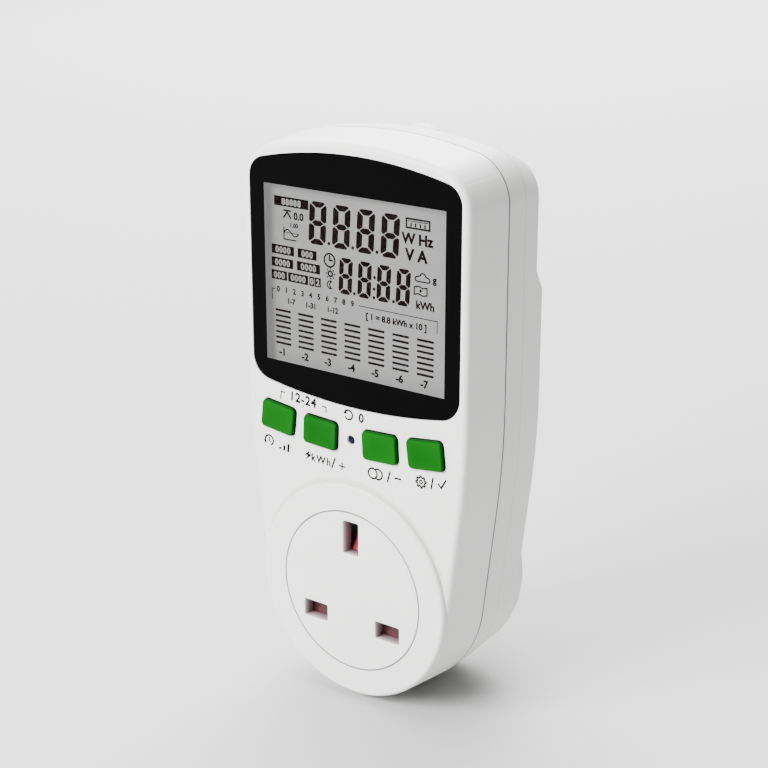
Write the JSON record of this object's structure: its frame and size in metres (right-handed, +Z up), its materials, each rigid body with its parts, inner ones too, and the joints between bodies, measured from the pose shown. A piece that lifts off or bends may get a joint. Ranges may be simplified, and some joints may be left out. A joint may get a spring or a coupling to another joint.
{
  "type": "plug-in energy monitor",
  "caption": "Plug-in mains energy monitor: slim white case with a display, a row of keys, a shuttered three-pin socket in front and a three-pin plug behind.",
  "frame": {"origin": "centre of the round plug boss, on the face that rests on the wall socket, midway between the line pins and on the level of the plug's own centre", "axes": "+Y out of the back along the plug pins, -Y out of the front, +Z up towards the display, +X to the right seen from the front"},
  "size_m": [0.0678, 0.0577, 0.1411],
  "materials": {
    "front_shell": "moulded ABS, soft satin white",
    "rear_shell": "moulded ABS, soft satin white",
    "display_window": "black printed acrylic with a clear view area",
    "lcd_glass": "grey reflective liquid crystal glass",
    "lcd_frame": "moulded",
    "lcd_diffuser": "milky light plate",
    "contact_strips": "striped elastomer",
    "main_board": "green solder mask",
    "history_key": "green, fine satin",
    "plus_key": "green, fine satin",
    "minus_key": "green, fine satin",
    "set_key": "green, fine satin",
    "keypad_sheet": "grey silicone",
    "reset_switch": "moulded black",
    "reset_plunger": "dark blue, recessed",
    "socket_insert": "moulded white thermoset",
    "shutter": "red moulding",
    "shutter_spring": "spring wire",
    "contact_housing": "white thermoset",
    "neutral_contact": "pressed phosphor bronze",
    "live_contact": "pressed phosphor bronze",
    "earth_contact": "pressed phosphor bronze",
    "neutral_pin": "nickel-free brass blade",
    "live_pin": "brass blade",
    "earth_pin": "brass blade",
    "pin_sleeves": "black insulating sleeve",
    "pin_retainer": "moulded",
    "shunt_strip": "copper alloy strip",
    "power_board": "tan laminate",
    "dropper_capacitor": "yellow box",
    "varistor": "blue dipped disc",
    "smoothing_capacitor": "sleeved can",
    "backup_battery": "sleeved button cells",
    "film_resistors": "lacquered rods",
    "metering_chip": "moulded package",
    "controller_chip": "moulded package",
    "timing_crystal": "metal can",
    "board_link": "pin header",
    "mains_terminal": "green moulding",
    "live_lead": "brown insulation",
    "neutral_lead": "blue insulation",
    "case_screws": "zinc plated",
    "display_board_screws": "zinc plated",
    "power_board_screws": "zinc plated",
    "socket_screws": "zinc plated",
    "retainer_screws": "zinc plated"
  },
  "bodies": {
    "case": {"front_shell": "front_shell", "rear_shell": "rear_shell", "display_window": "display_window", "lcd_glass": "lcd_glass", "lcd_frame": "lcd_frame", "lcd_diffuser": "lcd_diffuser", "contact_strips": "contact_strips", "main_board": "main_board", "keypad_sheet": "keypad_sheet", "reset_switch": "reset_switch", "socket_insert": "socket_insert", "shutter_spring": "shutter_spring", "contact_housing": "contact_housing", "neutral_contact": "neutral_contact", "live_contact": "live_contact", "earth_contact": "earth_contact", "neutral_pin": "neutral_pin", "live_pin": "live_pin", "earth_pin": "earth_pin", "pin_sleeves": "pin_sleeves", "pin_retainer": "pin_retainer", "shunt_strip": "shunt_strip", "power_board": "power_board", "dropper_capacitor": "dropper_capacitor", "varistor": "varistor", "smoothing_capacitor": "smoothing_capacitor", "backup_battery": "backup_battery", "film_resistors": "film_resistors", "metering_chip": "metering_chip", "controller_chip": "controller_chip", "timing_crystal": "timing_crystal", "board_link": "board_link", "mains_terminal": "mains_terminal", "live_lead": "live_lead", "neutral_lead": "neutral_lead", "case_screws": "case_screws", "display_board_screws": "display_board_screws", "power_board_screws": "power_board_screws", "socket_screws": "socket_screws", "retainer_screws": "retainer_screws"},
    "history_key": {"history_key": "history_key"},
    "plus_key": {"plus_key": "plus_key"},
    "minus_key": {"minus_key": "minus_key"},
    "set_key": {"set_key": "set_key"},
    "reset_plunger": {"reset_plunger": "reset_plunger"},
    "shutter": {"shutter": "shutter"}
  },
  "joints": [
    {"name": "history_key_press", "type": "slide", "parent": "case", "child": "history_key", "axis": [0, 1, 0], "range_m": [0, 0.0008], "stiffness_N_per_m": 900, "springref_m": -0.0003},
    {"name": "plus_key_press", "type": "slide", "parent": "case", "child": "plus_key", "axis": [0, 1, 0], "range_m": [0, 0.0008], "stiffness_N_per_m": 900, "springref_m": -0.0003},
    {"name": "minus_key_press", "type": "slide", "parent": "case", "child": "minus_key", "axis": [0, 1, 0], "range_m": [0, 0.0008], "stiffness_N_per_m": 900, "springref_m": -0.0003},
    {"name": "set_key_press", "type": "slide", "parent": "case", "child": "set_key", "axis": [0, 1, 0], "range_m": [0, 0.0008], "stiffness_N_per_m": 900, "springref_m": -0.0003},
    {"name": "reset_press", "type": "slide", "parent": "case", "child": "reset_plunger", "axis": [0, 1, 0], "range_m": [0, 0.0004], "stiffness_N_per_m": 900, "springref_m": -0.0003},
    {"name": "shutter_slide", "type": "slide", "parent": "case", "child": "shutter", "axis": [0, 0, -1], "range_m": [0, 0.0042], "stiffness_N_per_m": 120, "springref_m": -0.003, "deforming": ["shutter_spring"]}
  ]
}
